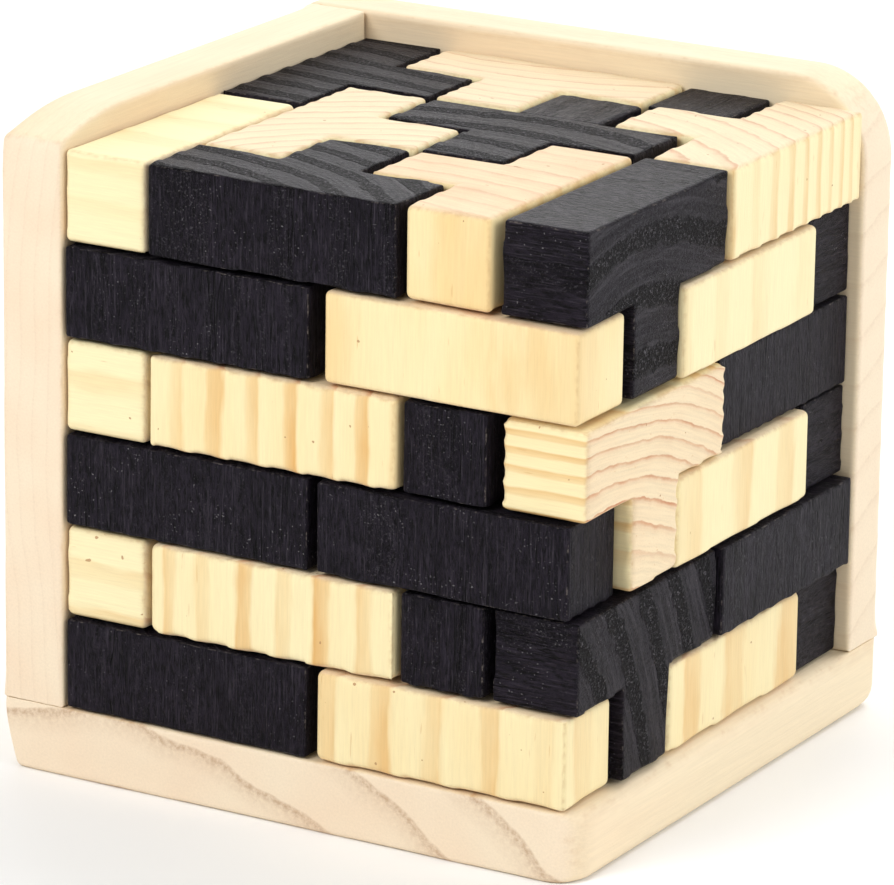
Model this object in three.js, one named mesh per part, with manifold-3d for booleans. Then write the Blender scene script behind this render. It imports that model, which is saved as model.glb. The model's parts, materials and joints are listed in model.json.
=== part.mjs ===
// Wooden burr puzzle: T-shaped blocks that interlock into a solid cube, held in an open tray of
// three boards. Millimetres, +Z up, origin at the bottom centre of the tray.
import * as THREE from "three";
import { mergeVertices } from "three/addons/utils/BufferGeometryUtils.js";
import Module from "manifold-3d";

// Driving dimensions of the cube and its blocks.
const CELL = 10; // pitch of the cube's cells
const CELLS = 6; // cells along each edge of the cube
const PLAY = 0.3; // how much less than the pitch a block's unit is; a bar is three units long
const SLAB_LEVELS = 2; // levels of cells in one slab; the cube is a stack of like slabs
const BLOCK_EASE = { natural: 0.8, black: 0.45 }; // chamfer on every edge of a block

// Driving dimensions of the tray.
const BOARD = 7.6; // thickness of the base and of both walls
const RIM = 2.7; // height of the walls above the cube
const LEDGE = 1.1; // how far the tray runs past the cube on its open right side
const GLUE_LINE = 0.2; // gap between glued boards
const FRONT_DIP = { length: 12, drop: 2.3 }; // the left wall's top dips towards its front end
const BACK_CORNER = 9; // radius of the back wall's free top corner
const BASE_CORNER = 4; // radius of the base's free corner, seen from above
const SANDED_HEEL = 5; // radius along the back of the base, under the back wall
const SANDED_FOOT = { height: 6.5, lean: 1.4 }; // the base leans in towards its left foot
const FREE_END = 2; // radius of the back wall's and the base's right rear edge
const ROLLED_TOP = 1.8; // radius of the walls' outer top edges and of the base's right top edge
const SOFT_EDGE = 1; // outer edges
const FINE_EDGE = 0.6; // inner edges
const JOINT_EDGE = 0.2; // edges along a glue line

const CUBE = CELL * CELLS;
const RIGHT = CUBE + LEDGE;
const BACK = CUBE + BOARD;
const ARC_STEPS = 2; // half the number of flats on a quarter-round

const FINISHES = {
  natural: { color: 0xe8cf96, roughness: 0.62, metalness: 0 },
  black: { color: 0x232326, roughness: 0.5, metalness: 0 },
  board: { color: 0xefdab0, roughness: 0.6, metalness: 0 },
};

const AXES = {
  "+x": new THREE.Vector3(1, 0, 0),
  "-x": new THREE.Vector3(-1, 0, 0),
  "+y": new THREE.Vector3(0, 1, 0),
  "-y": new THREE.Vector3(0, -1, 0),
  "+z": new THREE.Vector3(0, 0, 1),
  "-z": new THREE.Vector3(0, 0, -1),
};

// One slab of the cube. A T block is a bar of three cells with a stem of one cell in its middle:
// the bar's middle cell as [column, row, level] from the front left, the bar's direction and the
// stem's direction.
const SLAB = {
  a: { cell: [0, 4, 1], bar: "+y", stem: "+x" },
  b: { cell: [2, 5, 1], bar: "+x", stem: "-y" },
  c: { cell: [5, 4, 1], bar: "+y", stem: "-x" },
  d: { cell: [3, 3, 1], bar: "+x", stem: "-y" },
  e: { cell: [1, 2, 1], bar: "+y", stem: "+x" },
  f: { cell: [2, 0, 1], bar: "+x", stem: "+y" },
  g: { cell: [4, 1, 1], bar: "+y", stem: "-x" },
  h: { cell: [5, 1, 1], bar: "+y", stem: "-z" },
  i: { cell: [0, 1, 1], bar: "+y", stem: "-z" },
  j: { cell: [4, 5, 0], bar: "+x", stem: "+z" },
  k: { cell: [3, 4, 0], bar: "+x", stem: "+z" },
  l: { cell: [1, 0, 0], bar: "+x", stem: "+y" },
  m: { cell: [4, 0, 0], bar: "+x", stem: "+y" },
  n: { cell: [5, 3, 0], bar: "+y", stem: "-x" },
  o: { cell: [1, 5, 0], bar: "+x", stem: "-y" },
  p: { cell: [0, 3, 0], bar: "+y", stem: "+x" },
  q: { cell: [3, 2, 0], bar: "+y", stem: "+x" },
  r: { cell: [2, 2, 0], bar: "+y", stem: "-x" },
};

// Each slab from the bottom up: which blocks are stained black, and which loose ones have crept
// towards the right and towards the back, in millimetres.
const SLABS = [
  {
    name: "bottom",
    black: "bcdghjlor",
    crept: { c: [1.1, 0], h: [0.6, 0.4], l: [-0.15, 0], n: [0.4, 0.2] },
  },
  {
    name: "middle",
    black: "acegjklmq",
    crept: { h: [1.1, 0.5], l: [-0.15, 0], m: [-0.1, 0], n: [0.9, 0.1] },
  },
  {
    name: "top",
    black: "adfhjklpr",
    crept: { c: [1, 0.1], f: [-0.2, 0], h: [0.7, 0.6], l: [-0.15, 0], m: [0.6, 0], n: [1.1, 0.2] },
  },
];
const IN_PLACE = [0, 0];

const wasm = await Module();
wasm.setup();

function material(finish) {
  return new THREE.MeshStandardMaterial(FINISHES[finish]);
}

function toSolid(geometry) {
  geometry.deleteAttribute("normal");
  geometry.deleteAttribute("uv");
  const merged = mergeVertices(geometry);
  const mesh = new wasm.Mesh({
    numProp: 3,
    vertProperties: merged.attributes.position.array,
    triVerts: Uint32Array.from(merged.index.array),
  });
  return new wasm.Manifold(mesh);
}

function toGeometry(solid) {
  const mesh = solid.getMesh();
  const geometry = new THREE.BufferGeometry();
  geometry.setAttribute("position", new THREE.BufferAttribute(mesh.vertProperties, 3));
  geometry.setIndex(new THREE.BufferAttribute(mesh.triVerts, 1));
  geometry.computeVertexNormals();
  return geometry;
}

// The outline of a T, its bar along x and its stem along +y, with every outer corner cut off.
function tOutline(ease) {
  const half = (CELL - PLAY) / 2;
  const reach = 3 * half;
  const corners = [
    [-reach, -half], [reach, -half], [reach, half], [half, half],
    [half, reach], [-half, reach], [-half, half], [-reach, half],
  ];
  const inner = [3, 6];
  const points = corners.flatMap(([x, y], index) => {
    if (inner.includes(index)) return [new THREE.Vector2(x, y)];
    const neighbours = [corners.at(index - 1), corners[(index + 1) % corners.length]];
    return neighbours.map(([nx, ny]) => new THREE.Vector2(
      x + Math.sign(nx - x) * ease,
      y + Math.sign(ny - y) * ease,
    ));
  });
  return new THREE.Shape(points);
}

function tBlock(name, { cell, bar, stem }, slabIndex, finish, [creepX, creepY]) {
  const ease = BLOCK_EASE[finish];
  const straight = CELL - PLAY - 2 * ease;
  const geometry = new THREE.ExtrudeGeometry(tOutline(ease), {
    depth: straight,
    bevelThickness: ease,
    bevelSize: ease,
    bevelOffset: -ease,
    bevelSegments: 1,
  });
  geometry.translate(0, 0, -straight / 2);

  const block = new THREE.Mesh(geometry, material(finish));
  const across = new THREE.Vector3().crossVectors(AXES[bar], AXES[stem]);
  const turn = new THREE.Matrix4().makeBasis(AXES[bar], AXES[stem], across);
  block.quaternion.setFromRotationMatrix(turn);
  const [column, row, level] = cell;
  block.position.set(column + 0.5, row + 0.5, level + 0.5 + slabIndex * SLAB_LEVELS);
  block.position.multiplyScalar(CELL);
  block.position.x += creepX;
  block.position.y += creepY;
  block.name = name;
  return block;
}

function slab({ name, black, crept }, slabIndex) {
  return Object.entries(SLAB).map(([letter, block]) => {
    const finish = black.includes(letter) ? "black" : "natural";
    const creep = crept[letter] ?? IN_PLACE;
    return tBlock(`block_${name}_${letter}`, block, slabIndex, finish, creep);
  });
}

// A rectangle with its corners rounded, anticlockwise from its lowest corner.
function roundedRectangle([x0, x1], [y0, y1], [r0, r1, r2, r3]) {
  const shape = new THREE.Shape();
  shape.absarc(x1 - r1, y0 + r1, r1, -Math.PI / 2, 0);
  shape.absarc(x1 - r2, y1 - r2, r2, 0, Math.PI / 2);
  shape.absarc(x0 + r3, y1 - r3, r3, Math.PI / 2, Math.PI);
  shape.absarc(x0 + r0, y0 + r0, r0, Math.PI, Math.PI * 1.5);
  return shape;
}

// The solid that a shape sweeps between two places on the axis at right angles to it.
function prism(shape, across, up, [from, to]) {
  const geometry = new THREE.ExtrudeGeometry(shape, {
    depth: to - from,
    bevelEnabled: false,
    curveSegments: ARC_STEPS,
  });
  const along = new THREE.Vector3().crossVectors(AXES[across], AXES[up]);
  const start = along.x + along.y + along.z > 0 ? from : -to;
  geometry.translate(0, 0, start);
  geometry.applyMatrix4(new THREE.Matrix4().makeBasis(AXES[across], AXES[up], along));
  return toSolid(geometry);
}

// A board is what three prisms share, one for each of its outlines: seen from above, from the
// front and from the right. Each outline is a shape, or a rectangle's four corner radii.
function board(name, { x, y, z }, { above, front, right }) {
  const outline = (given, across, up) =>
    Array.isArray(given) ? roundedRectangle(across, up, given) : given;
  const solid = prism(outline(above, x, y), "+x", "+y", z)
    .intersect(prism(outline(front, x, z), "+x", "+z", y))
    .intersect(prism(outline(right, y, z), "+y", "+z", x));
  const mesh = new THREE.Mesh(toGeometry(solid), material("board"));
  mesh.name = name;
  return mesh;
}

// The base seen from the front: its left foot is sanded to a lean.
function baseFront([x0, x1], [z0, z1]) {
  const shape = new THREE.Shape();
  shape.moveTo(x0 + SANDED_FOOT.lean, z0);
  shape.absarc(x1 - SOFT_EDGE, z0 + SOFT_EDGE, SOFT_EDGE, -Math.PI / 2, 0);
  shape.absarc(x1 - ROLLED_TOP, z1 - ROLLED_TOP, ROLLED_TOP, 0, Math.PI / 2);
  shape.lineTo(x0, z1);
  shape.quadraticCurveTo(x0, z0 + SANDED_FOOT.height / 2, x0 + SANDED_FOOT.lean, z0);
  return shape;
}

// The left wall seen from the right: its top dips in a curve towards its front end.
function leftWallSide([y0, y1], [z0, z1]) {
  const { length, drop } = FRONT_DIP;
  const shape = new THREE.Shape();
  shape.moveTo(y0, z0);
  shape.lineTo(y1, z0);
  shape.lineTo(y1, z1);
  shape.lineTo(y0 + length, z1);
  shape.quadraticCurveTo(y0 + length / 2, z1, y0 + FINE_EDGE, z1 - drop);
  shape.lineTo(y0, z1 - drop - FINE_EDGE);
  return shape;
}

function baseBoard() {
  const extent = { x: [-BOARD, RIGHT], y: [0, BACK], z: [-BOARD, 0] };
  return board("base_board", extent, {
    above: [SOFT_EDGE, BASE_CORNER, FREE_END, SOFT_EDGE],
    front: baseFront(extent.x, extent.z),
    right: [SOFT_EDGE / 2, SANDED_HEEL, JOINT_EDGE, FINE_EDGE / 2],
  });
}

function leftWall() {
  const extent = { x: [-BOARD, 0], y: [0, CUBE - GLUE_LINE], z: [GLUE_LINE, CUBE + RIM] };
  return board("left_wall", extent, {
    above: [SOFT_EDGE, FINE_EDGE, JOINT_EDGE, JOINT_EDGE],
    front: [JOINT_EDGE, JOINT_EDGE, FINE_EDGE, ROLLED_TOP],
    right: leftWallSide(extent.y, extent.z),
  });
}

function backWall() {
  const extent = { x: [-BOARD, RIGHT], y: [CUBE, BACK], z: [GLUE_LINE, CUBE + RIM] };
  return board("back_wall", extent, {
    above: [JOINT_EDGE, FINE_EDGE, FREE_END, SOFT_EDGE],
    front: [JOINT_EDGE, JOINT_EDGE, BACK_CORNER, SOFT_EDGE],
    right: [JOINT_EDGE, JOINT_EDGE, ROLLED_TOP, FINE_EDGE],
  });
}

const puzzle = new THREE.Group();
puzzle.add(baseBoard(), leftWall(), backWall(), ...SLABS.flatMap(slab));
puzzle.position.set((BOARD - RIGHT) / 2, -BACK / 2, BOARD);

export default puzzle;
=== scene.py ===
"""Looks of a wooden burr puzzle: 54 T-shaped pine blocks that interlock into a cube, some stained
black, in an open tray of three glued boards. Metres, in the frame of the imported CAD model.

Each block and board is a fine mesh whose eased edges and worn growth rings are real relief. The
rings come from one function of the place in the log, which is also kept on the mesh for the
materials to colour.
"""

import json
import math

import bpy
import numpy as np
from mathutils import Matrix, Vector


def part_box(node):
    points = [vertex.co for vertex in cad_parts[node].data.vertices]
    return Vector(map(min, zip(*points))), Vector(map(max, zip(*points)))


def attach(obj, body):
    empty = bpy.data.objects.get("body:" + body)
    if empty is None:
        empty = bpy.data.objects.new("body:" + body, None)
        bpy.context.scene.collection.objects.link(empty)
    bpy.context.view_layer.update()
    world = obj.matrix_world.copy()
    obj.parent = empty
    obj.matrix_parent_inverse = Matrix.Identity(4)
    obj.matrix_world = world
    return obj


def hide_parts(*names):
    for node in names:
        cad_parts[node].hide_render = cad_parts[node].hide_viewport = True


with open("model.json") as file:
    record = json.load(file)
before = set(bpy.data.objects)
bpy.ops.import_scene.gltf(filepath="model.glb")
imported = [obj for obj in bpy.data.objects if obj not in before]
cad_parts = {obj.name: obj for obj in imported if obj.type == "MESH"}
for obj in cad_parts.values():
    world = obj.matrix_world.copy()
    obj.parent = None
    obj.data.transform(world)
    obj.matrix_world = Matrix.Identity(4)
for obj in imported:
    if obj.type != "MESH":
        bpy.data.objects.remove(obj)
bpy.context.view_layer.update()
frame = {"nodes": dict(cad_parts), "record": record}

MM = 0.001
CELL = 10.0  # pitch of the cube's cells, mm
PLAY = 0.3  # how much less than the pitch a block's unit is, mm
HALF = (CELL - PLAY) / 2
REACH = 3 * HALF  # half of a bar, and how far a stem stands out from the bar's middle
DIVISIONS = 22  # mesh steps along a cell
EDGE_CROWDING = 0.45  # how much closer the steps lie near a cell's ends
RING_WANDER = ((1.1, 0.05), (2.3, 0.03), (4.9, 0.012))  # waves a cell and depth in cells
PLAIN_EASE = 0.3  # how far a block without rings is from its least edge radius to its greatest
HANDLING_WEAR = 0.03  # half of how deep the slow waves of wear go into the blocks, mm
LOG_SPREAD = 500  # how far apart the places in the log of two blocks may be, mm

# The bar's direction and the stem's direction of each block in a slab.
TURNS = {
    "a": "+y+x", "b": "+x-y", "c": "+y-x", "d": "+x-y", "e": "+y+x", "f": "+x+y",
    "g": "+y-x", "h": "+y-z", "i": "+y-z", "j": "+x+z", "k": "+x+z", "l": "+x+y",
    "m": "+x+y", "n": "+y-x", "o": "+x-y", "p": "+y+x", "q": "+y+x", "r": "+y-x",
}

# Growth rings of the blocks on which they show: where the log's heart lies in the plane of the T,
# in cells from the cube's front left lower corner, the ring spacing at the block's middle in
# cells, how fast the rings tighten outwards, how dark they are, and how orange the wood is.
GRAIN = {
    "top_a": ((-1.0, -6.0), 0.42, 1.0, 0.8, 0.3),
    "top_b": ((1.8, 10.0), 0.24, 1.0, 0.6, 0.3),
    "top_c": ((3.4, 1.2), 0.28, 2.6, 0.7, 0.15),
    "top_d": ((3.4, -0.2), 0.5, 1.0, 0.9, 0.3),
    "top_e": ((3.4, 0.2), 0.22, 1.0, 0.6, 0.15),
    "top_f": ((0.8, -2.8), 0.42, 1.0, 0.9, 0.3),
    "top_g": ((3.2, -9.0), 0.34, 1.0, 0.55, 0.95),
    "top_h": ((1.4, 0.6), 0.62, 1.0, 1.0, 0.3),
    "top_i": ((-4.0, -5.0), 0.4, 1.0, 0.3, 0.1),
    "top_l": ((-3.0, 5.0), 0.25, 1.0, 0.6, 0.3),
    "top_m": ((6.5, 3.6), 1.5, 1.0, 0.35, 0.65),
    "top_n": ((0.0, 9.0), 0.6, 1.0, 0.3, 0.1),
    "middle_f": ((-3.0, -2.0), 0.4, 1.0, 0.95, 0.4),
    "middle_h": ((0.3, -2.4), 0.19, 3.4, 1.0, 0.3),
    "middle_i": ((-4.0, -3.0), 0.5, 1.0, 0.3, 0.1),
    "middle_n": ((9.0, -1.0), 0.85, 1.0, 0.5, 0.2),
    "bottom_f": ((6.0, -4.0), 0.3, 1.0, 1.0, 0.25),
    "bottom_h": ((-5.7, -2.1), 0.58, 1.0, 1.0, 0.3),
    "bottom_i": ((-3.0, -5.0), 0.45, 1.0, 0.5, 0.1),
    "bottom_m": ((-2.0, 5.0), 0.52, 1.0, 0.8, 0.4),
    "bottom_n": ((10.0, 6.0), 0.55, 1.0, 0.8, 0.35),
}

# The same for the other blocks, which are hidden or show no clear rings: least and greatest of the
# heart's distance and the spacing in cells, the tightening, the darkness and the orange.
OTHER_GRAIN = ((3, 9), (0.22, 0.5), (1, 1.5), (0.3, 0.9), (0.1, 0.5))

EASE = {"natural_wood": (0.5, 0.95), "black_stained_wood": (0.2, 0.5)}  # edge radii, mm
RELIEF = {"natural_wood": 0.02, "black_stained_wood": 0.1}  # depth of the worn rings, mm

WALL_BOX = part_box("left_wall")
FRONT_LEFT = Vector((WALL_BOX[1].x, WALL_BOX[0].y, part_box("base_board")[1].z))
AXIS = {"x": 0, "y": 1, "z": 2}


def smoothstep(low, high, value):
    t = np.clip((value - low) / (high - low), 0, 1)
    return t * t * (3 - 2 * t)


def latewood(phase):
    """How much of the dark, hard latewood there is at a place in a ring."""
    place = phase - np.floor(phase)
    return smoothstep(0.4, 0.85, place) * (1 - smoothstep(0.93, 1.0, place))


def steps(start, end):
    t = np.linspace(0, 1, DIVISIONS + 1)
    t -= EDGE_CROWDING * np.sin(2 * np.pi * t) / (2 * np.pi)
    return start + (end - start) * t


def joined(*stretches):
    return np.concatenate([stretches[0]] + [s[1:] for s in stretches[1:]])


def skin(lines, solid):
    """Places and quads of the outside of the solid cells between these grid lines."""
    shape = np.array([len(line) for line in lines])
    padded = np.pad(solid, 1)
    quads = []
    for axis in range(3):
        u, v = (axis + 1) % 3, (axis + 2) % 3
        for side in (0, 1):
            beyond = np.roll(padded, 1 - 2 * side, axis)[1:-1, 1:-1, 1:-1]
            cells = np.argwhere(solid & ~beyond)
            ring = [(0, 0), (1, 0), (1, 1), (0, 1)] if side else [(0, 0), (0, 1), (1, 1), (1, 0)]
            corners = []
            for du, dv in ring:
                corner = cells.copy()
                corner[:, axis] += side
                corner[:, u] += du
                corner[:, v] += dv
                corners.append(np.ravel_multi_index(corner.T, shape))
            quads.append(np.stack(corners, 1))
    used, quads = np.unique(np.concatenate(quads), return_inverse=True)
    index = np.unravel_index(used, shape)
    places = np.stack([line[i] for line, i in zip(lines, index)], 1)
    return places, quads.reshape(-1, 4)


def rings_at(cells, plane, heart, spacing, middle, tightening, seed):
    """The ring phase of each place, and the place round the log's heart, both with some wander."""
    rng = np.random.default_rng(seed)
    a, b = cells[:, plane[0]], cells[:, plane[1]]
    away = np.hypot(a - heart[0], b - heart[1])
    angle = np.arctan2(b - heart[1], a - heart[0])
    reach = math.hypot(middle[0] - heart[0], middle[1] - heart[1])
    for wave, depth in RING_WANDER:
        turn = rng.uniform(0, 2 * np.pi, 3)
        away = away + depth * np.sin(wave * a + turn[0]) * np.cos(wave * b + turn[1])
    phase = reach / (tightening * spacing) * (away / reach) ** tightening
    return phase + rng.uniform(0, 1), angle * reach


def make_mesh(name, places, quads, vectors, material):
    mesh = bpy.data.meshes.new(name)
    mesh.from_pydata(places.tolist(), [], quads.tolist())
    for key, values in vectors.items():
        layer = mesh.attributes.new(key, "FLOAT_VECTOR", "POINT")
        layer.data.foreach_set("vector", values.astype(np.float32).ravel())
    mesh.materials.append(material)
    mesh.shade_smooth()
    piece = bpy.data.objects.new(name, mesh)
    bpy.context.scene.collection.objects.link(piece)
    return piece


# --------------------------------------------------------------------------- materials


class Nodes:
    """A material's node tree, with one call for each kind of node it uses."""

    def __init__(self, name):
        self.material = bpy.data.materials.new(name)
        self.material.use_nodes = True
        self.tree = self.material.node_tree
        self.shader = self.tree.nodes["Principled BSDF"]

    def add(self, kind, inputs=None, **settings):
        node = self.tree.nodes.new(kind)
        for key, value in settings.items():
            setattr(node, key, value)
        for key, value in (inputs or {}).items():
            self.put(node.inputs[key], value)
        return node

    def put(self, socket, value):
        if isinstance(value, bpy.types.NodeSocket):
            self.tree.links.new(value, socket)
        else:
            socket.default_value = value

    def attribute(self, name):
        return self.add("ShaderNodeAttribute", attribute_name=name).outputs["Vector"]

    def split(self, vector):
        return self.add("ShaderNodeSeparateXYZ", {0: vector}).outputs

    def math(self, operation, *values):
        node = self.add("ShaderNodeMath", dict(enumerate(values)), operation=operation)
        return node.outputs[0]

    def stretch(self, vector, scale):
        node = self.add("ShaderNodeVectorMath", {0: vector, 1: scale}, operation="MULTIPLY")
        return node.outputs[0]

    def noise(self, vector, scale, detail=2.0, roughness=0.5):
        inputs = {"Vector": vector, "Scale": scale, "Detail": detail, "Roughness": roughness}
        return self.add("ShaderNodeTexNoise", inputs).outputs["Fac"]

    def ramp(self, value, *stops):
        node = self.add("ShaderNodeValToRGB", {0: value})
        elements = node.color_ramp.elements
        while len(elements) < len(stops):
            elements.new(0.5)
        for element, (place, level) in zip(elements, stops):
            element.position = place
            element.color = (level, level, level, 1)
        return node.outputs["Color"]

    def mix(self, amount, first, second, blend="MIX"):
        node = self.add("ShaderNodeMix", data_type="RGBA", blend_type=blend)
        for number, value in ((0, amount), (6, first), (7, second)):
            if isinstance(value, tuple):
                value = (*value, 1)
            self.put(node.inputs[number], value)
        return node.outputs[2]

    def bump(self, height, strength, distance, normal=None):
        inputs = {"Height": height, "Strength": strength, "Distance": distance}
        node = self.add("ShaderNodeBump", inputs)
        if normal is not None:
            self.put(node.inputs["Normal"], normal)
        return node.outputs["Normal"]

    def finish(self, colour, roughness, normal, specular):
        self.put(self.shader.inputs["Base Color"], colour)
        self.put(self.shader.inputs["Roughness"], roughness)
        self.put(self.shader.inputs["Normal"], normal)
        self.shader.inputs["Specular IOR Level"].default_value = specular
        return self.material


def pine():
    """Bare sanded pine: pale, with orange rings along the grain and pinkish ones on end grain."""
    n = Nodes("natural_pine")
    log = n.attribute("log")
    rings = n.attribute("rings")
    phase = n.split(rings)[0]
    contrast, orange, _ = n.split(n.attribute("wood"))
    end, edge, _ = n.split(n.attribute("face"))
    wander = n.math("MULTIPLY", n.noise(n.stretch(log, (0.5, 0.5, 0.12)), 1.0, 3.0), 0.35)
    place = n.math("FRACT", n.math("ADD", phase, wander))
    broad = n.ramp(
        place, (0.0, 0.0), (0.5, 0.08), (0.6, 0.62), (0.88, 1.0), (0.95, 0.25), (1.0, 0.0))
    crisp = n.ramp(
        place, (0.0, 0.0), (0.6, 0.04), (0.8, 0.32), (0.92, 1.0), (0.97, 0.9), (1.0, 0.0))
    late = n.mix(end, broad, crisp)
    year = n.math("FLOOR", n.math("ADD", phase, wander))
    strong = n.add("ShaderNodeTexWhiteNoise", {"W": year}, noise_dimensions="1D").outputs["Value"]
    strong = n.math("MULTIPLY_ADD", strong, 0.65, 0.45)
    patchy = n.ramp(n.noise(n.stretch(log, (0.35, 0.35, 0.1)), 1.0, 2.0), (0.3, 0.55), (0.65, 1.0))
    late = n.math("MULTIPLY", late, strong)
    late = n.math("MULTIPLY", late, n.math("MULTIPLY", patchy, contrast))

    warm = n.ramp(n.noise(n.stretch(log, (0.16, 0.16, 0.05)), 1.0, 2.0), (0.35, 0.0), (0.7, 1.0))
    warm = n.math("MULTIPLY", n.math("MULTIPLY_ADD", warm, 0.55, 0.45), orange)
    long_grain = n.mix(warm, (0.90, 0.805, 0.495), (0.88, 0.62, 0.27))
    end_grain = n.mix(warm, (0.87, 0.725, 0.485), (0.82, 0.57, 0.35))
    pale = n.mix(end, long_grain, end_grain)
    dark = n.mix(end, (0.72, 0.41, 0.13), (0.58, 0.25, 0.11))
    colour = n.mix(late, pale, dark)

    fibres = n.noise(n.stretch(log, (5.0, 5.0, 0.25)), 1.0, 4.0, 0.6)
    colour = n.mix(0.5, colour, n.ramp(fibres, (0.3, 0.83), (0.7, 1.0)), "MULTIPLY")
    strands = n.noise(n.stretch(rings, (7.0, 1.2, 0.5)), 1.0, 3.0, 0.6)
    strands = n.ramp(strands, (0.3, 0.82), (0.6, 1.0))
    colour = n.mix(n.math("MULTIPLY", end, 0.6), colour, strands, "MULTIPLY")
    ducts = n.ramp(n.noise(n.stretch(log, (2.2, 2.2, 0.3)), 1.0, 1.0), (0.75, 0.0), (0.8, 0.45))
    colour = n.mix(ducts, colour, (0.62, 0.36, 0.14))
    pin_knots = n.ramp(n.noise(log, 1.5, 0.0), (0.865, 0.0), (0.88, 0.8))
    colour = n.mix(pin_knots, colour, (0.40, 0.20, 0.08))
    grime = n.math("MULTIPLY", edge, n.ramp(n.noise(log, 1.3, 3.0), (0.4, 0.0), (0.75, 0.5)))
    colour = n.mix(grime, colour, (0.55, 0.33, 0.14))

    roughness = n.math("MULTIPLY_ADD", late, -0.12, 0.6)
    grit = n.noise(log, 7.0, 3.0, 0.6)
    normal = n.bump(fibres, 0.25, 0.00012)
    normal = n.bump(grit, 0.18, 0.0001, normal)
    return n.finish(colour, roughness, normal, 0.35)


def stained():
    """Pine under a thin black stain: smooth latewood with a sheen, partly painted as lighter
    strands, between rough, fuzzy bands with painted glints.
    """
    n = Nodes("black_stained_pine")
    log = n.attribute("log")
    rings = n.attribute("rings")
    phase = n.split(rings)[0]
    contrast = n.split(n.attribute("wood"))[0]
    end, edge, _ = n.split(n.attribute("face"))
    wander = n.math("MULTIPLY", n.noise(n.stretch(log, (0.6, 0.6, 0.12)), 1.0, 3.0), 0.3)
    place = n.math("FRACT", n.math("ADD", phase, wander))
    band = n.ramp(
        place, (0.0, 0.15), (0.5, 0.0), (0.56, 0.9), (0.88, 1.0), (0.93, 0.1), (1.0, 0.0))
    ragged = n.noise(n.stretch(log, (3.0, 3.0, 1.2)), 1.0, 4.0, 0.7)
    ragged = n.ramp(ragged, (0.36, 0.25), (0.5, 1.0))
    rough = n.math("MULTIPLY", n.math("MULTIPLY", band, ragged), contrast)
    rough = n.math("MULTIPLY", rough, n.math("MULTIPLY_ADD", end, 0.75, 0.25))
    smooth = n.math("SUBTRACT", 1.0, rough)

    # Everywhere: fibres, a leathery skin of stain, and darker and lighter patches.
    fibres = n.noise(n.stretch(log, (6.0, 6.0, 0.3)), 1.0, 4.0, 0.7)
    leather = n.noise(n.stretch(log, (2.6, 2.6, 0.8)), 1.0, 5.0, 0.75)
    patches = n.noise(n.stretch(log, (0.45, 0.45, 0.16)), 1.0, 3.0, 0.6)
    patches = n.ramp(patches, (0.35, 0.0), (0.65, 1.0))
    colour = n.mix(patches, (0.0055, 0.0036, 0.0078), (0.0135, 0.0098, 0.0170))
    colour = n.mix(n.ramp(leather, (0.4, 0.95), (0.54, 0.0)), colour, (0.0006, 0.0003, 0.0010))
    colour = n.mix(n.ramp(fibres, (0.53, 0.0), (0.7, 0.8)), colour, (0.044, 0.037, 0.049))

    # End grain: thin strands that follow the rings, lighter on smooth parts as a painted sheen, and
    # rough pitted bands with painted glints.
    strands = n.noise(n.stretch(rings, (9.0, 1.0, 0.5)), 1.0, 4.0, 0.65)
    painted_sheen = n.ramp(strands, (0.48, 0.0), (0.64, 0.7))
    painted_sheen = n.math("MULTIPLY", painted_sheen, n.math("MULTIPLY", end, smooth))
    # painted sheen: lighter grey strands on smooth end grain stand in for latewood catching the
    # light
    colour = n.mix(painted_sheen, colour, (0.050, 0.045, 0.054))
    colour = n.mix(rough, colour, (0.0014, 0.0004, 0.0022))
    grit = n.noise(log, 3.6, 3.0, 0.7)
    # painted glints: bright specks in the rough bands stand in for light caught by the pitted
    # surface
    glints = n.math("MULTIPLY", n.ramp(grit, (0.57, 0.0), (0.64, 0.9)), rough)
    colour = n.mix(glints, colour, (0.22, 0.205, 0.23))

    # Side grain: drying cracks, a little dust, and bare edges where the stain has worn.
    drift = n.noise(n.stretch(log, (0.9, 0.9, 0.05)), 1.0, 2.0)
    where = n.ramp(n.noise(n.stretch(log, (0.25, 0.25, 0.1)), 1.0), (0.5, 0.0), (0.6, 0.9))
    crack = n.math("MULTIPLY", n.ramp(drift, (0.484, 0.0), (0.5, 1.0), (0.516, 0.0)), where)
    crack = n.math("MULTIPLY", crack, n.math("SUBTRACT", 1.0, end))
    colour = n.mix(crack, colour, (0.0004, 0.0003, 0.0006))
    dusty = n.ramp(n.noise(log, 0.16, 1.0), (0.45, 0.1), (0.6, 1.0))
    dust = n.math("MULTIPLY", n.ramp(n.noise(log, 4.6, 0.0), (0.78, 0.0), (0.81, 0.8)), dusty)
    colour = n.mix(dust, colour, (0.2, 0.19, 0.2))
    worn = n.ramp(n.noise(log, 1.4, 4.0, 0.7), (0.54, 0.0), (0.62, 0.85))
    worn = n.math("MULTIPLY", worn, n.ramp(edge, (0.35, 0.0), (0.8, 1.0)))
    colour = n.mix(worn, colour, (0.13, 0.11, 0.10))

    roughness = n.math("MULTIPLY_ADD", leather, -0.45, 0.66)
    roughness = n.math("MULTIPLY_ADD", rough, 0.1, roughness)
    normal = n.bump(fibres, 0.6, 0.00015)
    normal = n.bump(leather, 0.75, 0.0003, normal)
    normal = n.bump(n.math("MULTIPLY", strands, end), 0.7, 0.0004, normal)
    normal = n.bump(n.math("MULTIPLY", grit, rough), 1.0, 0.0008, normal)
    normal = n.bump(n.math("SUBTRACT", 1.0, crack), 0.9, 0.0003, normal)
    return n.finish(colour, roughness, normal, 0.1)


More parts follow.
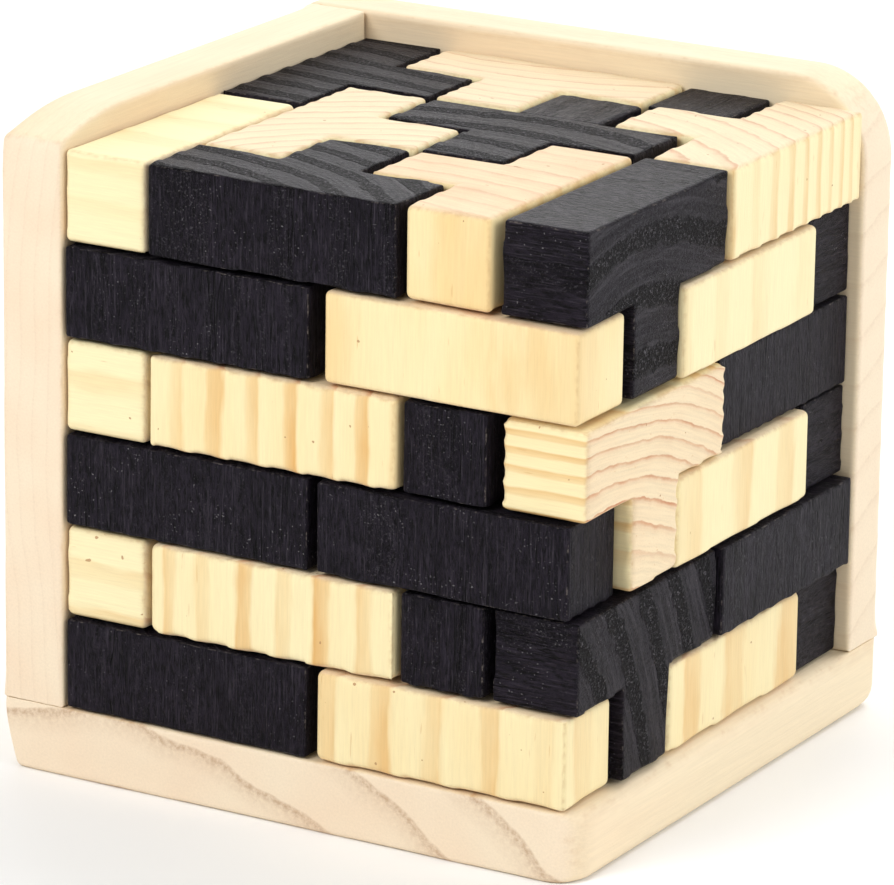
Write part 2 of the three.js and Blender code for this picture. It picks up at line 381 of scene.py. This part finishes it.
def board_pine():
    """The tray's pale, peachy pine with wide, faint rings."""
    n = Nodes("tray_pine")
    log = n.attribute("log")
    phase = n.split(n.attribute("rings"))[0]
    contrast, orange, _ = n.split(n.attribute("wood"))
    end, edge, _ = n.split(n.attribute("face"))
    wander = n.math("MULTIPLY", n.noise(n.stretch(log, (0.12, 0.12, 0.03)), 1.0, 3.0), 0.3)
    place = n.math("FRACT", n.math("ADD", phase, wander))
    late = n.ramp(place, (0.0, 0.0), (0.6, 0.0), (0.84, 0.35), (0.93, 1.0), (0.97, 0.8), (1.0, 0.0))
    speckle = n.noise(n.stretch(log, (1.6, 1.6, 0.5)), 1.0, 4.0, 0.7)
    speckle = n.ramp(speckle, (0.35, 0.25), (0.62, 1.0))
    late = n.math("MULTIPLY", n.math("MULTIPLY", late, speckle), contrast)
    warm = n.ramp(n.noise(n.stretch(log, (0.09, 0.09, 0.02)), 1.0, 2.0), (0.35, 0.0), (0.7, 1.0))
    pale = n.mix(n.math("MULTIPLY", warm, orange), (0.87, 0.735, 0.52), (0.82, 0.56, 0.35))
    pale = n.mix(n.math("MULTIPLY", end, 0.4), pale, (0.82, 0.68, 0.55))
    dark = n.mix(end, (0.62, 0.38, 0.19), (0.46, 0.29, 0.17))
    colour = n.mix(late, pale, dark)
    fibres = n.noise(n.stretch(log, (4.0, 4.0, 0.15)), 1.0, 4.0, 0.6)
    colour = n.mix(0.5, colour, n.ramp(fibres, (0.3, 0.85), (0.7, 1.0)), "MULTIPLY")
    grime = n.math("MULTIPLY", edge, n.ramp(n.noise(log, 0.9, 3.0), (0.5, 0.0), (0.8, 0.35)))
    colour = n.mix(grime, colour, (0.55, 0.33, 0.16))
    normal = n.bump(fibres, 0.2, 0.00012)
    normal = n.bump(n.noise(log, 6.0, 3.0, 0.6), 0.15, 0.0001, normal)
    return n.finish(colour, n.math("MULTIPLY_ADD", late, -0.1, 0.6), normal, 0.35)


MATERIALS = {
    "natural_wood": pine(),
    "black_stained_wood": stained(),
    "tray_board": board_pine(),
}

# --------------------------------------------------------------------------- blocks

BAR_LINE = joined(steps(-REACH, -HALF), steps(-HALF, HALF), steps(HALF, REACH))
STEM_LINE = joined(steps(-HALF, HALF), steps(HALF, REACH))
T_LINES = (BAR_LINE, STEM_LINE, steps(-HALF, HALF))


def t_cells():
    solid = np.zeros((3 * DIVISIONS, 2 * DIVISIONS, DIVISIONS), bool)
    solid[:, :DIVISIONS] = True
    solid[DIVISIONS:2 * DIVISIONS] = True
    return solid


T_PLACES, T_QUADS = skin(T_LINES, t_cells())


def nearest_inside(places, radius):
    """The nearest place to each in a T that is smaller all round by the radius there."""
    near, far = HALF - radius, REACH - radius
    bar = np.clip(places, np.stack([-far, -near, -near], 1), np.stack([far, near, near], 1))
    stem = np.clip(places, np.stack([-near, -near, -near], 1), np.stack([near, far, near], 1))
    nearer = np.linalg.norm(places - bar, axis=1) <= np.linalg.norm(places - stem, axis=1)
    return np.where(nearer[:, None], bar, stem)


def t_block(node, slot, seed):
    rng = np.random.default_rng(seed)
    _, slab, letter = node.split("_")
    turn = TURNS[letter]
    low, high = (np.array(corner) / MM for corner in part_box(node))
    along = [AXIS[turn[1]], AXIS[turn[3]]]
    across = 3 - sum(along)
    basis = np.zeros((3, 3))
    basis[along[0], 0] = 1 if turn[0] == "+" else -1
    basis[along[1], 1] = 1 if turn[2] == "+" else -1
    basis[:, 2] = np.cross(basis[:, 0], basis[:, 1])
    centre = (low + high) / 2
    centre[along[1]] = low[along[1]] + HALF if turn[2] == "+" else high[along[1]] - HALF

    plane = [axis for axis in range(3) if axis != across]
    front_left = np.array(FRONT_LEFT) / MM
    middle = (centre - front_left)[plane] / CELL
    if f"{slab}_{letter}" in GRAIN:
        heart, spacing, tightening, contrast, orange = GRAIN[f"{slab}_{letter}"]
    else:
        angle = rng.uniform(0, 2 * np.pi)
        away, spacing, tightening, contrast, orange = (rng.uniform(*ends) for ends in OTHER_GRAIN)
        heart = (middle[0] + away * math.cos(angle), middle[1] + away * math.sin(angle))

    square = T_PLACES @ basis.T + centre
    cells = (square - front_left) / CELL
    phase, round_heart = rings_at(cells, plane, heart, spacing, middle, tightening, seed)
    soft = 1 - latewood(phase)
    least, most = EASE[slot]
    radius = least + (most - least) * (soft * contrast + PLAIN_EASE * (1 - contrast))
    inside = nearest_inside(T_PLACES, radius)
    outward = T_PLACES - inside
    outward /= np.linalg.norm(outward, axis=1)[:, None]
    flatness = np.abs(outward).max(axis=1)
    edge = smoothstep(0.0, 0.25, 1 - flatness)
    end = smoothstep(0.5, 0.9, np.abs(outward[:, 2]))
    sway = np.sin(cells @ rng.uniform(-2, 2, 3) + rng.uniform(0, 6))
    sunk = RELIEF[slot] * soft * contrast * (0.2 + 0.8 * end) + HANDLING_WEAR * (1 + sway)
    places = inside + outward * (radius - sunk)[:, None]

    places = (places @ basis.T + centre) * MM
    log = np.stack([cells[:, plane[0]], cells[:, plane[1]], cells[:, across]], 1) * CELL
    vectors = {
        "rings": np.stack([phase, round_heart, cells[:, across]], 1),
        "log": log + rng.uniform(-LOG_SPREAD, LOG_SPREAD, 3),
        "wood": np.tile([contrast, orange, 0], (len(places), 1)),
        "face": np.stack([end, edge, np.zeros_like(end)], 1),
    }
    piece = make_mesh(f"look_{node}", places, T_QUADS, vectors, MATERIALS[slot])
    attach(piece, node)
    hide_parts(node)


slots = {part["node"]: part["material_slot"] for part in frame["record"]["subparts"]}
block_nodes = sorted(node for node in frame["nodes"] if node.startswith("block_"))
for number, node in enumerate(block_nodes):
    t_block(node, slots[node], number)

# --------------------------------------------------------------------------- boards

EDGE_STEPS = [0, 0.12, 0.3, 0.55, 0.85, 1.2, 1.6, 2.1, 2.7, 3.4]  # mm from a board's edge
FACE_STEP = 0.8  # mm
BOARD_WEAR, BOARD_RELIEF = 0.02, 0.04  # how far all of a board and its soft rings wear down, mm
GLUE_LINE = 0.2  # gap that the CAD keeps between glued boards, closed here, mm


def board_line(low, high):
    start = [low + s for s in EDGE_STEPS if s < (high - low) / 2]
    end = [high - s for s in EDGE_STEPS[::-1] if s < (high - low) / 2]
    count = max(2, round((end[0] - start[-1]) / FACE_STEP) + 1)
    return joined(np.array(start), np.linspace(start[-1], end[0], count), np.array(end))


def rounded_board(low, high, across, corners, edges, fade=None):
    """The skin of a board. across is its thickness axis. corners are the radii of its outline's
    corners, anticlockwise from the lowest. edges are the radii along the outline's sides (lower
    first, then higher, of each outline axis) on its lower and on its upper face. fade gives how
    much of the upper face's radius there is at each place."""
    plane = [axis for axis in range(3) if axis != across]
    lines = [board_line(low[axis], high[axis]) for axis in range(3)]
    solid = np.ones([len(line) - 1 for line in lines], bool)
    places, quads = skin(lines, solid)
    u, v, t = places[:, plane[0]], places[:, plane[1]], places[:, across]
    u0, u1, v0, v1 = low[plane[0]], high[plane[0]], low[plane[1]], high[plane[1]]
    t0, t1 = low[across], high[across]

    # Edges between the outline and the two faces: both are drawn in towards a quarter round.
    sides = np.stack([u - u0, u1 - u, v - v0, v1 - v], 1)
    weight = np.exp(-(sides - sides.min(1)[:, None]))
    upper = (t > (t0 + t1) / 2).astype(int)
    radius = (np.array(edges)[upper] * weight).sum(1) / weight.sum(1)
    if fade is not None:
        radius = np.where(upper == 1, radius * fade(places), radius)
    thick = np.minimum(t - t0, t1 - t)
    a, b = radius - sides.min(1), radius - thick
    near = (a > 0) & (b > 0)
    squeeze = np.where(near, np.maximum(a, b) / np.maximum(np.hypot(a, b), 1e-9), 1)
    inwards = np.where(near, a * (1 - squeeze), 0)
    t = t + np.where(near, b * (1 - squeeze), 0) * np.where(upper == 1, -1, 1)

    for (su, sv), corner in zip(((0, 0), (1, 0), (1, 1), (0, 1)), corners):
        here = ((u > (u0 + u1) / 2) == su) & ((v > (v0 + v1) / 2) == sv)
        du = np.where(su, u1 - u, u - u0)
        dv = np.where(sv, v1 - v, v - v0)
        reach = np.maximum(radius, corner)
        a, b = np.maximum(reach - du, 0), np.maximum(reach - dv, 0)
        most = np.maximum(np.maximum(a, b), 1e-9)
        du, dv = du + a * inwards / most, dv + b * inwards / most
        a, b = corner - du, corner - dv
        turn = (a > 0) & (b > 0)
        squeeze = np.where(turn, np.maximum(a, b) / np.maximum(np.hypot(a, b), 1e-9), 1)
        du = np.where(turn, corner - a * squeeze, du)
        dv = np.where(turn, corner - b * squeeze, dv)
        u = np.where(here, u1 - du if su else u0 + du, u)
        v = np.where(here, v1 - dv if sv else v0 + dv, v)

    places[:, plane[0]], places[:, plane[1]], places[:, across] = u, v, t
    return places, quads


def outward_normals(places, quads):
    a, b, c, d = (places[quads[:, i]] for i in range(4))
    faces = np.cross(c - a, d - b)
    normals = np.zeros_like(places)
    for i in range(4):
        np.add.at(normals, quads[:, i], faces)
    return normals / np.maximum(np.linalg.norm(normals, axis=1), 1e-12)[:, None]


def board(node, grain_axis, heart, spacing, contrast, orange, shape, bend=None):
    low, high = (np.array(corner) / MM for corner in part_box(node))
    low[2] = max(low[2] - GLUE_LINE, 0)
    places, quads = rounded_board(low, high, *shape)
    if bend is not None:
        places = bend(places, low, high)
    cells = (places - np.array(FRONT_LEFT) / MM) / CELL
    plane = [axis for axis in range(3) if axis != grain_axis]
    middle = ((low + high) / 2 - np.array(FRONT_LEFT) / MM)[plane] / CELL
    seed = sum(map(ord, node))
    phase, round_heart = rings_at(cells, plane, heart, spacing, middle, 1.0, seed)
    soft = 1 - latewood(phase)
    normals = outward_normals(places, quads)
    end = smoothstep(0.5, 0.9, np.abs(normals[:, grain_axis]))
    edge = smoothstep(0.0, 0.25, 1 - np.abs(normals).max(axis=1))
    places = places - normals * (BOARD_WEAR + BOARD_RELIEF * soft)[:, None]
    vectors = {
        "rings": np.stack([phase, round_heart, cells[:, grain_axis]], 1),
        "log": np.stack([cells[:, plane[0]], cells[:, plane[1]], cells[:, grain_axis]], 1) * CELL,
        "wood": np.tile([contrast, orange, 0], (len(places), 1)),
        "face": np.stack([end, edge, np.zeros_like(end)], 1),
    }
    piece = make_mesh(f"look_{node}", places * MM, quads, vectors, MATERIALS["tray_board"])
    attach(piece, "tray")
    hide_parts(node)


DIP_LENGTH, DIP_DEPTH, DIP_FROM = 12, 2.2, 0.6  # mm, mm, and share of the wall's height
LEAN, LEAN_HEIGHT, LEAN_REACH, LEAN_CURVE = 1.4, 6.5, 9, 1.6  # mm, mm, mm, and a power
GLUED_SHARPNESS = 0.9  # how much of the base's edge radius goes where a wall is glued on
FADE_BACK, FADE_LEFT = (-4, 0), (-0.5, 2)  # where the radius changes, mm from each wall's face


def front_dip(places, low, high):
    """The left wall's top dips in a curve towards its front end."""
    near = np.clip(1 - (places[:, 1] - low[1]) / DIP_LENGTH, 0, 1)
    height = smoothstep(DIP_FROM, 1.0, (places[:, 2] - low[2]) / (high[2] - low[2]))
    places[:, 2] -= DIP_DEPTH * near ** 2 * height
    return places


def leaning_foot(places, low, high):
    """The base leans in towards its left foot, below its top millimetre."""
    drop = np.clip((high[2] - 1 - places[:, 2]) / LEAN_HEIGHT, 0, 1)
    near = 1 - smoothstep(0, LEAN_REACH, places[:, 0] - low[0])
    places[:, 0] += LEAN * drop ** LEAN_CURVE * near
    return places


def under_walls(places):
    """The base's top edges are sharp where the walls are glued on."""
    behind = smoothstep(*FADE_BACK, places[:, 1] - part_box("back_wall")[0].y / MM)
    beside = 1 - smoothstep(*FADE_LEFT, places[:, 0] - FRONT_LEFT.x / MM)
    return 1 - GLUED_SHARPNESS * np.maximum(behind, beside)


# Each board: its grain's axis, heart, ring spacing, contrast and orange, then its rounding.
board("base_board", 1, (0.5, -5.8), 0.78, 0.8, 0.35,
      (2, (1.0, 4.0, 2.0, 1.0), ((0.5, 1.2, 0.6, 6.0), (0.5, 1.8, 0.4, 0.3)), under_walls),
      leaning_foot)
board("left_wall", 1, (28.0, 3.0), 0.17, 0.12, 0.6,
      (0, (0.05, 0.1, 0.3, 1.0), ((1.0, 0.1, 0.05, 1.8), (0.6, 0.1, 0.05, 0.6))), front_dip)
board("back_wall", 0, (9.0, -4.0), 0.5, 0.2, 0.25,
      (1, (0.05, 0.05, 9.0, 1.0), ((0.1, 0.6, 0.05, 0.6), (1.0, 2.0, 0.05, 1.8))))

# --------------------------------------------------------------------------- camera, light, floor

# The view: from the front, turned to the right side and raised, with a slight roll.
AZIMUTH, ELEVATION, ROLL = (math.radians(angle) for angle in (30.0, 17.05, 0.84))
DISTANCE = 0.6465
SIDEWAYS, UPWARDS = -0.00149, -0.00371
LENS = 249.9
SENSOR = 36

back = Vector((
    math.sin(AZIMUTH) * math.cos(ELEVATION),
    -math.cos(AZIMUTH) * math.cos(ELEVATION),
    math.sin(ELEVATION),
))
right = Vector((math.cos(AZIMUTH), math.sin(AZIMUTH), 0))
up = back.cross(right)
rolled_right = right * math.cos(ROLL) + up * math.sin(ROLL)
rolled_up = up * math.cos(ROLL) - right * math.sin(ROLL)
cube_centre = FRONT_LEFT + Vector((3, 3, 3)) * CELL * MM
camera = bpy.data.objects.new("camera", bpy.data.cameras.new("camera"))
camera.data.lens = LENS
camera.data.sensor_width = SENSOR
place = cube_centre + back * DISTANCE + right * SIDEWAYS + up * UPWARDS
rotation = Matrix((rolled_right, rolled_up, back)).transposed().to_4x4()
camera.matrix_world = Matrix.Translation(place) @ rotation
bpy.context.scene.collection.objects.link(camera)
bpy.context.scene.camera = camera


def soft_light(name, place, size, power):
    lamp = bpy.data.lights.new(name, "AREA")
    lamp.shape = "DISK"
    lamp.size = size
    lamp.energy = power
    piece = bpy.data.objects.new(name, lamp)
    piece.location = place
    piece.rotation_euler = (cube_centre - Vector(place)).to_track_quat("-Z", "Y").to_euler()
    bpy.context.scene.collection.objects.link(piece)


soft_light("key", (-0.25, -0.7, 0.6), 0.5, 5.2)
soft_light("side", (0.8, -0.1, 0.45), 0.5, 2.7)
soft_light("rear", (0.55, 0.8, 0.12), 0.5, 2.0)
soft_light("top", (0.1, 0.5, 0.8), 0.6, 3.8)
soft_light("back", (-0.67, 1.16, 0.45), 1.0, 5.5)

world = bpy.data.worlds.new("studio")
world.use_nodes = True
sky = world.node_tree.nodes["Background"]
sky.inputs["Color"].default_value = (1, 1, 1, 1)
sky.inputs["Strength"].default_value = 0.42
bpy.context.scene.world = world
bpy.context.scene.view_settings.view_transform = "Standard"

FLOOR_REACH = 4.0
corners = [(FLOOR_REACH * x, FLOOR_REACH * y, 0) for x, y in ((-1, -1), (1, -1), (1, 1), (-1, 1))]
floor_mesh = bpy.data.meshes.new("floor")
floor_mesh.from_pydata(corners, [], [(0, 1, 2, 3)])
floor = bpy.data.objects.new("floor", floor_mesh)
pale = bpy.data.materials.new("pale_floor")
pale.use_nodes = True
pale_shader = pale.node_tree.nodes["Principled BSDF"]
pale_shader.inputs["Base Color"].default_value = (0.92, 0.92, 0.92, 1)
pale_shader.inputs["Roughness"].default_value = 0.9
floor_mesh.materials.append(pale)
bpy.context.scene.collection.objects.link(floor)

bpy.context.view_layer.update()
